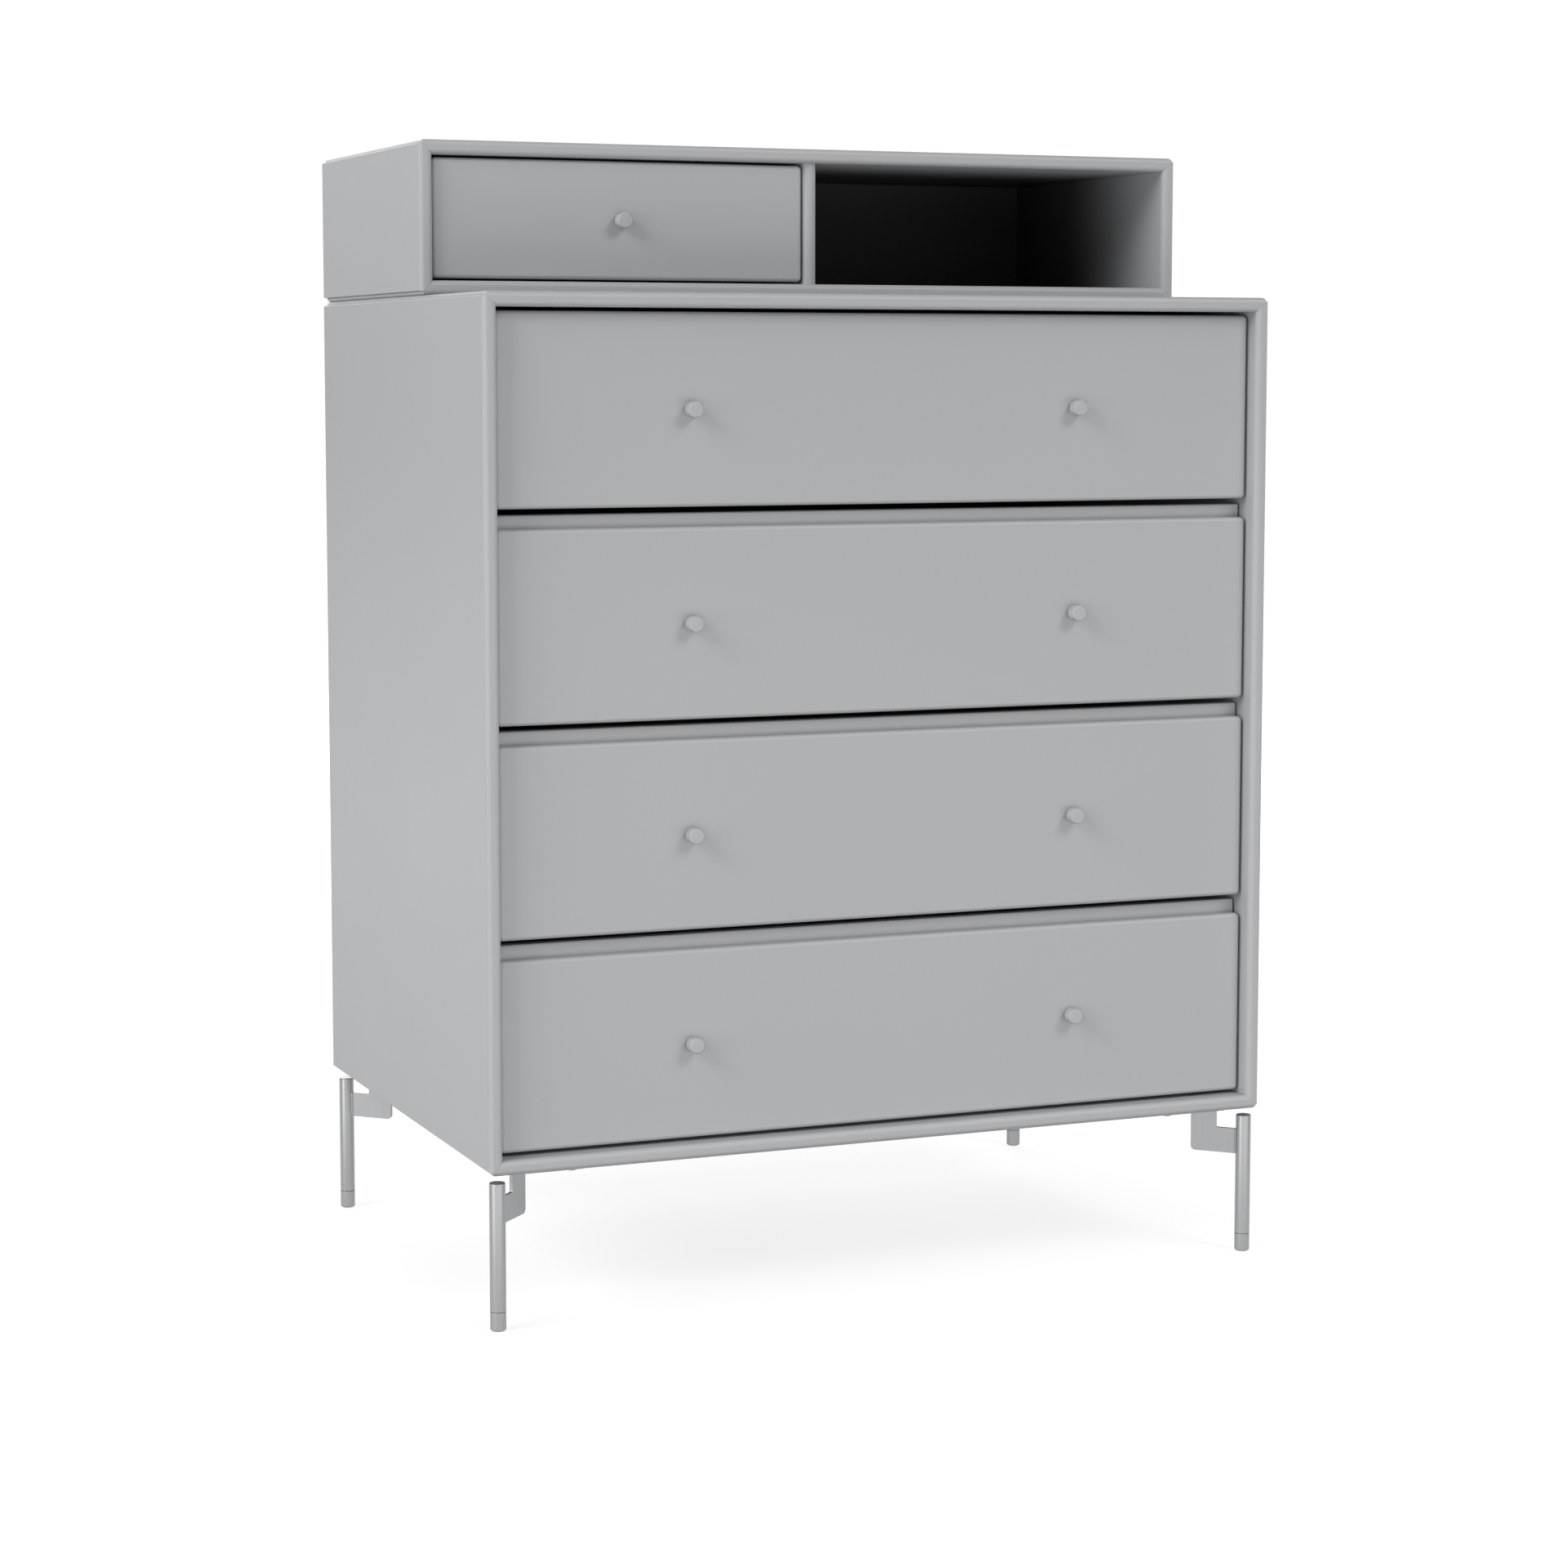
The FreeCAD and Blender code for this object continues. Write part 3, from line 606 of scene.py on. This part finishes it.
screwPlaces = {
    "plate": ((0.271, 0.165), (0.271, 0.210), (0.316, 0.165)),   # x and y of the back right one
    "plateThickness": 0.003,
    "backInset": 0.003,        # from the back board's edges
    "backScale": 0.75,
    "backRows": (("lower", 4, 5), ("upper", 4, 2)),   # module, screws across and up
    "runnerAlong": (0.030, 0.150, 0.270, 0.370),   # from the front end of a drawer's runner
    "smallAlong": (0.030, 0.120, 0.212),
    "runnerSheet": 0.0012,
    "runnerScale": 0.72,
}


def makePlateScrews(pattern):
    # Three screws from below through each leg's mounting plate
    for corner in corners:
        low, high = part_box(corner + "_leg")
        signX = 1.0 if high.x > 0.0 else -1.0
        signY = 1.0 if high.y > 0.0 else -1.0
        under = high.z - screwPlaces["plateThickness"]
        heads = [placedCopy(pattern, (signX * x, signY * y, under), facing["down"])
                 for x, y in screwPlaces["plate"]]
        settle(joined(heads, corner + "_plate_screws"), "cabinet", "leg_steel")


def makeKnobScrews(pattern):
    # The screw that holds each knob has its head inside the drawer
    for drawer in allDrawers:
        small = drawer == "small_drawer"
        knobLow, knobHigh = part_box(drawer + ("_knob" if small else "_knobs"))
        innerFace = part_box(drawer + ("_front" if small else "_box_front"))[1].y
        radius = knob["headRadius"]
        places = [knobLow.x + radius] if small else [knobLow.x + radius, knobHigh.x - radius]
        heads = [placedCopy(pattern, (x, innerFace, knobLow.z + radius), facing["back"])
                 for x in places]
        settle(joined(heads, drawer + "_knob_screws"), drawer, "runner_steel")


def makeBackScrews(pattern):
    # A row of screws along each edge of the two back boards
    inset = screwPlaces["backInset"]
    for module, across, up in screwPlaces["backRows"]:
        low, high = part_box(module + "_back")
        spots = []
        for count in range(across):
            x = low.x + (high.x - low.x) * (count + 0.5) / across
            spots += [(x, low.z + inset), (x, high.z - inset)]
        for count in range(up):
            z = low.z + (high.z - low.z) * (count + 0.5) / up
            spots += [(low.x + inset, z), (high.x - inset, z)]
        heads = [placedCopy(pattern, (x, high.y, z), facing["back"], screwPlaces["backScale"])
                 for x, z in spots]
        settle(joined(heads, module + "_back_screws"), "cabinet", "runner_steel")


def makeRunnerScrews(pattern):
    # Screws through the drawer's runner members into the sides of its box
    for drawer in allDrawers:
        low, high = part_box(drawer + "_runners")
        boxLow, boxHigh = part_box(drawer + "_sides")
        alongs = screwPlaces["smallAlong" if drawer == "small_drawer" else "runnerAlong"]
        middle = (low.z + high.z) / 2
        heads = []
        for face, turn in ((boxLow.x - screwPlaces["runnerSheet"], facing["left"]),
                           (boxHigh.x + screwPlaces["runnerSheet"], facing["right"])):
            heads += [placedCopy(pattern, (face, low.y + along, middle), turn,
                                 screwPlaces["runnerScale"]) for along in alongs]
        settle(joined(heads, drawer + "_runner_screws"), drawer, "runner_steel")


def makeScrews():
    pattern = screwPattern()
    makePlateScrews(pattern)
    makeKnobScrews(pattern)
    makeBackScrews(pattern)
    makeRunnerScrews(pattern)
    dropPattern(pattern)


makeScrews()
print("stage: screws")


merge = {
    "distance": 2e-6,
    "flatAngle": 0.4,          # triangles that turn by less than this are one face
    "sharpAngle": 40.0,        # edges that turn by more than this are broken
}


def mergedCopy(node, name):
    # A copy of a CAD node with its triangles merged into whole faces, open in edit mode
    piece = bpy.data.objects.new(name, frame["nodes"][node].data.copy())
    bpy.context.scene.collection.objects.link(piece)
    selectOnly(piece)
    bpy.ops.mesh.customdata_custom_splitnormals_clear()
    bpy.ops.object.mode_set(mode="EDIT")
    bpy.ops.mesh.select_mode(type="VERT")
    bpy.ops.mesh.select_all(action="SELECT")
    bpy.ops.mesh.remove_doubles(threshold=merge["distance"])
    bpy.ops.mesh.dissolve_limited(angle_limit=math.radians(merge["flatAngle"]))
    return piece


weld = {
    "sides": 10,
    "radius": 0.0011,
    "length": 0.0215,
    "ripples": 15,
    "swell": 1.14,             # every second ring of the bead is this much wider
    "endTaper": 0.55,
    "smoothAngle": 60.0,
}

leg = {                        # where the beads lie, and how the edges are broken
    "rodRadius": 0.0065,
    "armHalf": 0.0015,         # half the arm's thickness
    "armLow": 0.0853,
    "plateUnder": 0.1235,
    "riserNear": 0.0244,       # from the rod's axis to the plate's bead
    "rodTop": 0.1200,
    "rodRim": 0.0007,
    "rimSegments": 3,
    "easing": 0.0003,
    "easingSegments": 2,
    "smoothAngle": 20.0,
}


def weldPattern():
    # Rippled bead along z, with its lower end on z = 0
    bead = turnedBlank("weldPattern", weld["sides"], weld["radius"], 0.0, weld["length"])
    chooseEdges(lambda start, end: abs(start.z - end.z) > weld["length"] / 2)
    bpy.ops.mesh.subdivide(number_cuts=weld["ripples"])
    step = weld["length"] / (weld["ripples"] + 1)
    choosePoints(lambda point: round(point.z / step) % 2 == 1)
    bpy.ops.transform.resize(value=(weld["swell"], weld["swell"], 1.0))
    choosePoints(lambda point: point.z < tiny or point.z > weld["length"] - tiny)
    bpy.ops.transform.resize(value=(weld["endTaper"], weld["endTaper"], 1.0))
    finishShape(weld["smoothAngle"])
    return bead


def makeWelds(bead, corner, axis):
    # Two upright beads where the arm meets the rod, and two where it meets the plate
    inX = -1.0 if axis.x > 0.0 else 1.0
    inY = -1.0 if axis.y > 0.0 else 1.0
    along = Vector((inX, inY, 0.0)).normalized()
    across = Vector((-along.y, along.x, 0.0))
    seat = math.sqrt(leg["rodRadius"] ** 2 - leg["armHalf"] ** 2)
    lying = along.to_track_quat("Z", "Y").to_euler()
    beads = []
    for side in (-1.0, 1.0):
        aside = across * side * leg["armHalf"]
        stand = Vector((axis.x, axis.y, leg["armLow"])) + along * seat
        lie = Vector((axis.x, axis.y, leg["plateUnder"])) + along * leg["riserNear"]
        beads.append(placedCopy(bead, stand + aside))
        beads.append(placedCopy(bead, lie + aside, lying))
    settle(joined(beads, corner + "_weld_beads"), "cabinet", "leg_steel")


def easedLeg(corner, axis):
    # The leg with a round rim at the rod's top and its other sharp edges broken
    piece = mergedCopy(corner + "_leg", corner + "_eased_leg")

    def onRim(point):
        reach = math.hypot(point.x - axis.x, point.y - axis.y)
        return abs(point.z - leg["rodTop"]) < near and abs(reach - leg["rodRadius"]) < 10 * near
    chooseEdges(lambda start, end: onRim(start) and onRim(end))
    bpy.ops.mesh.bevel(offset=leg["rodRim"], segments=leg["rimSegments"], affect="EDGES")
    bpy.ops.mesh.select_all(action="DESELECT")
    bpy.ops.mesh.edges_select_sharp(sharpness=math.radians(merge["sharpAngle"]))
    bpy.ops.mesh.bevel(offset=leg["easing"], segments=leg["easingSegments"], affect="EDGES",
                       clamp_overlap=True)
    bpy.ops.object.mode_set(mode="OBJECT")
    bpy.ops.object.shade_smooth_by_angle(angle=math.radians(leg["smoothAngle"]))
    settle(piece, "cabinet", "leg_steel", corner + "_leg")


def makeLegs():
    bead = weldPattern()
    for corner in corners:
        footLow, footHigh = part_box(corner + "_foot")
        axis = (footLow + footHigh) / 2
        makeWelds(bead, corner, axis)
        easedLeg(corner, axis)
    dropPattern(bead)


makeLegs()
print("stage: legs")


panel = {
    "mitreGap": 0.00008,       # hairline that shows where two boards meet
    "boardAngle": 30.0,
    "boxEasing": 0.0004,
    "boxSegments": 2,
    "boxAngle": 20.0,
}


def mitredBoard(module, board, outerX, bottomZ, topZ):
    # A carcass board whose mitred ends stand back by a hair from their neighbours
    node = f"{module}_{board}"
    piece = mergedCopy(node, node + "_board")
    lying = board in ("top", "bottom")
    gap = panel["mitreGap"]
    for end in ("low", "high"):
        def onMitre(point):
            inset = outerX - abs(point.x)
            upper = abs(topZ - point.z - inset) < 2 * near
            lower = abs(point.z - bottomZ - inset) < 2 * near
            if lying:
                ownMitre = upper if board == "top" else lower
                return ownMitre and (point.x < 0.0) == (end == "low")
            return lower if end == "low" else upper
        choosePoints(onMitre)
        step = gap if end == "low" else -gap
        bpy.ops.transform.translate(value=(step, 0.0, 0.0) if lying else (0.0, 0.0, step))
    bpy.ops.object.mode_set(mode="OBJECT")
    smoothBySize(panel["boardAngle"])
    settle(piece, "cabinet", slotOf[node], node)


def easedPanel(node):
    # A drawer's panel with its sharp edges broken
    piece = mergedCopy(node, node + "_panel")
    selectNone("EDGE")
    bpy.ops.mesh.edges_select_sharp(sharpness=math.radians(merge["sharpAngle"]))
    bpy.ops.mesh.bevel(offset=panel["boxEasing"], segments=panel["boxSegments"], affect="EDGES")
    bpy.ops.object.mode_set(mode="OBJECT")
    smoothBySize(panel["boxAngle"])
    settle(piece, frame["nodes"][node]["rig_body"], slotOf[node], node)


def makePanels():
    for module in ("lower", "upper"):
        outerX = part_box(module + "_right_side")[1].x
        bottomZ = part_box(module + "_bottom")[0].z
        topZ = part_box(module + "_top")[1].z
        for board in ("top", "bottom", "left_side", "right_side"):
            mitredBoard(module, board, outerX, bottomZ, topZ)
    for drawer in allDrawers:
        easedPanel(drawer + "_sides")
        easedPanel(drawer + "_back")
        if drawer in wideDrawers:
            easedPanel(drawer + "_box_front")


makePanels()
print("stage: panels")


def studioSet():
    # Floor and dome glow white and light nothing, and only the floor shows in reflections; near
    # the cabinet the floor's glow is dimmed, a painted shadow
    bpy.ops.object.select_all(action="DESELECT")
    bpy.ops.mesh.primitive_plane_add(size=studio["floorSize"], location=(0.0, 0.0, 0.0))
    floor = bpy.context.object
    floor.name = "floor"
    pale = Finish("paleFloor", Base_Color=studio["floorColour"], Roughness=studio["roughness"],
                  Specular_IOR_Level=0.0, Emission_Strength=1.0)
    reach = pale.add("VectorMath", {"operation": "LENGTH"}, {0: pale.place}, output=1)
    rise = pale.add("MapRange", {"interpolation_type": "SMOOTHSTEP"}, {
        "Value": reach, "From Min": studio["glowStart"],
        "From Max": studio["glowStart"] + studio["glowWidth"]})
    # painted shadow: the floor glows dimmer near the cabinet and whiter further out
    pale.feed(Emission_Color=pale.blend(rise, studio["shadedNearGlow"], studio["farGlow"]))
    floor.data.materials.append(pale.material)
    bpy.ops.object.select_all(action="DESELECT")
    bpy.ops.mesh.primitive_uv_sphere_add(
        segments=studio["domeSegments"], ring_count=studio["domeRings"],
        radius=studio["domeRadius"], location=(0.0, 0.0, 0.0))
    dome = bpy.context.object
    dome.name = "dome"
    bpy.ops.object.shade_smooth()
    white = Finish("paleDome", Base_Color=(0.0, 0.0, 0.0, 1.0), Roughness=studio["roughness"],
                   Specular_IOR_Level=0.0, Emission_Strength=1.0,
                   Emission_Color=studio["farGlow"])
    dome.data.materials.append(white.material)
    for backdrop in (floor, dome):
        backdrop.visible_diffuse = False
    dome.visible_shadow = False
    dome.visible_glossy = False


def softBox(name, position, target, size, energy):
    # A rectangular lamp that the camera doesn't see
    data = bpy.data.lights.new(name, "AREA")
    data.shape = "RECTANGLE"
    data.size, data.size_y = size
    data.energy = energy
    lamp = bpy.data.objects.new(name, data)
    bpy.context.scene.collection.objects.link(lamp)
    lamp.location = position
    aim = Vector(target) - Vector(position)
    lamp.rotation_euler = aim.to_track_quat("-Z", "Y").to_euler()
    lamp.visible_camera = False


lamps = [                      # name, place, aim, width and height, watts
    ("keyLight", (-4.6, -1.3, 3.3), (0.0, 0.0, 0.4), (3.4, 2.2), 168.0),
    ("sideLight", (-4.4, -1.7, 0.4), (0.0, 0.0, 0.4), (3.0, 1.2), 45.0),
    ("rightLight", (2.1, -3.3, 3.4), (0.0, 0.0, 0.5), (2.0, 1.5), 68.0),
    ("lowLight", (0.0, -1.7, 0.05), (0.0, -0.2, 0.6), (3.4, 1.0), 17.0),
    ("rearLight", (0.5, 4.5, 2.6), (0.0, 0.0, 0.5), (3.5, 3.5), 120.0),
    ("fillLight", (4.2, 1.1, 1.5), (0.0, 0.0, 0.5), (2.5, 2.0), 42.0),
]


def studioLight():
    world = bpy.data.worlds.new("studio")
    world.use_nodes = True
    background = world.node_tree.nodes["Background"]
    background.inputs["Color"].default_value = (1.0, 1.0, 1.0, 1.0)
    background.inputs["Strength"].default_value = studio["worldStrength"]
    bpy.context.scene.world = world
    bpy.context.scene.view_settings.view_transform = "Standard"
    for lamp in lamps:
        softBox(*lamp)


def photoCamera():
    data = bpy.data.cameras.new("camera")
    data.lens = camera["lens"]
    data.sensor_width = camera["sensor"]
    data.shift_x, data.shift_y = camera["shift"]
    view = bpy.data.objects.new("camera", data)
    bpy.context.scene.collection.objects.link(view)
    view.location = camera["position"]
    tilt = math.radians(90.0 - camera["pitch"])
    view.rotation_euler = (tilt, 0.0, -math.radians(camera["yaw"]))
    bpy.context.scene.camera = view


studioSet()
studioLight()
photoCamera()
print("stage: studio and camera")
